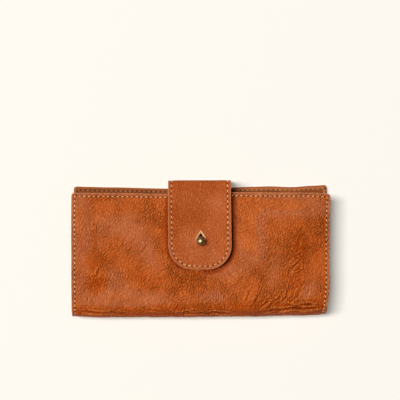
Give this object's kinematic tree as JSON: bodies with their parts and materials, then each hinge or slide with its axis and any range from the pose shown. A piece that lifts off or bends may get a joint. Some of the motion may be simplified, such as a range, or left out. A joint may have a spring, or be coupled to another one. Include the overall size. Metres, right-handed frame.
{
  "type": "long wallet",
  "caption": "Long bifold leather wallet that lies flat and closes with a stitched tab buttoned on a small ball stud.",
  "frame": {"origin": "middle of the closed wallet's box, on the surface that it lies on", "axes": "+X along the width, +Y from the spine towards the tab, +Z through the thickness, out of the front cover"},
  "size_m": [0.1904, 0.1016, 0.0295],
  "materials": {
    "cognac_leather": "pebble grain, soft sheen",
    "tab_leather": "fine grain, soft sheen",
    "lining_leather": "smooth, matt",
    "pocket_leather": "smooth, satin",
    "waxed_thread": "waxed twisted thread",
    "fibreboard": "raw board",
    "zip_tape_fabric": "woven tape",
    "antique_brass": "antiqued, satin",
    "screw_steel": "plain"
  },
  "bodies": {
    "back": {"back_cover": "cognac_leather", "back_board": "fibreboard", "back_lining": "lining_leather", "back_cover_thread": "waxed_thread", "back_note_pocket": "pocket_leather", "tab_root": "tab_leather", "coin_pouch_rear_wall": "lining_leather", "coin_pouch_front_wall": "lining_leather", "coin_pouch_left_gusset": "lining_leather", "coin_pouch_right_gusset": "lining_leather", "coin_pouch_thread": "waxed_thread", "zip_tape_rear": "zip_tape_fabric", "zip_tape_front": "zip_tape_fabric", "zip_teeth_rear": "antique_brass", "zip_teeth_front": "antique_brass", "zip_stop_closed_end": "antique_brass", "zip_stop_open_end": "antique_brass"},
    "spine": {"spine_leather": "cognac_leather", "spine_lining": "lining_leather"},
    "front": {"front_cover": "cognac_leather", "front_board": "fibreboard", "front_lining": "lining_leather", "front_cover_thread": "waxed_thread", "front_note_pocket": "pocket_leather", "card_pocket_left_1": "pocket_leather", "card_pocket_left_2": "pocket_leather", "card_pocket_left_3": "pocket_leather", "card_pocket_left_4": "pocket_leather", "card_pocket_right_1": "pocket_leather", "card_pocket_right_2": "pocket_leather", "card_pocket_right_3": "pocket_leather", "card_pocket_right_4": "pocket_leather", "stud_ball": "antique_brass", "stud_screw": "screw_steel"},
    "tab_bridge": {"tab_bridge_outer": "tab_leather", "tab_bridge_lining": "lining_leather"},
    "tab_tongue": {"tab_tongue_outer": "tab_leather", "tab_tongue_lining": "lining_leather", "tab_thread": "waxed_thread"},
    "zip_slider": {"zip_slider": "antique_brass", "zip_pull_pin": "antique_brass"},
    "zip_pull": {"zip_pull": "antique_brass"}
  },
  "joints": [
    {"name": "spine_fold", "type": "hinge", "parent": "back", "child": "spine", "pos_m": [0, -0.04908, 0.00172], "axis": [1, 0, 0], "range_deg": [0, 90]},
    {"name": "front_fold", "type": "hinge", "parent": "spine", "child": "front", "pos_m": [0, -0.04908, 0.01828], "axis": [1, 0, 0], "range_deg": [0, 90]},
    {"name": "tab_bridge_fold", "type": "hinge", "parent": "back", "child": "tab_bridge", "pos_m": [0, 0.05016, 0.00244], "axis": [-1, 0, 0], "range_deg": [0, 90], "deforming": ["tab_root", "tab_bridge_outer", "tab_bridge_lining", "tab_tongue_outer", "tab_tongue_lining", "tab_thread"]},
    {"name": "tab_tongue_fold", "type": "hinge", "parent": "tab_bridge", "child": "tab_tongue", "pos_m": [0, 0.05016, 0.02276], "axis": [-1, 0, 0], "range_deg": [0, 90]},
    {"name": "zip_slide", "type": "slide", "parent": "back", "child": "zip_slider", "axis": [-1, 0, 0], "range_m": [0, 0.148]},
    {"name": "zip_pull_swing", "type": "hinge", "parent": "zip_slider", "child": "zip_pull", "pos_m": [0.074, 0.041, 0.0077], "axis": [0, 0, -1], "range_deg": [0, 180]}
  ],
  "couplings": [
    {"joint": "front_fold", "follows": "spine_fold", "ratio": 1},
    {"joint": "tab_tongue_fold", "follows": "tab_bridge_fold", "ratio": 1}
  ]
}
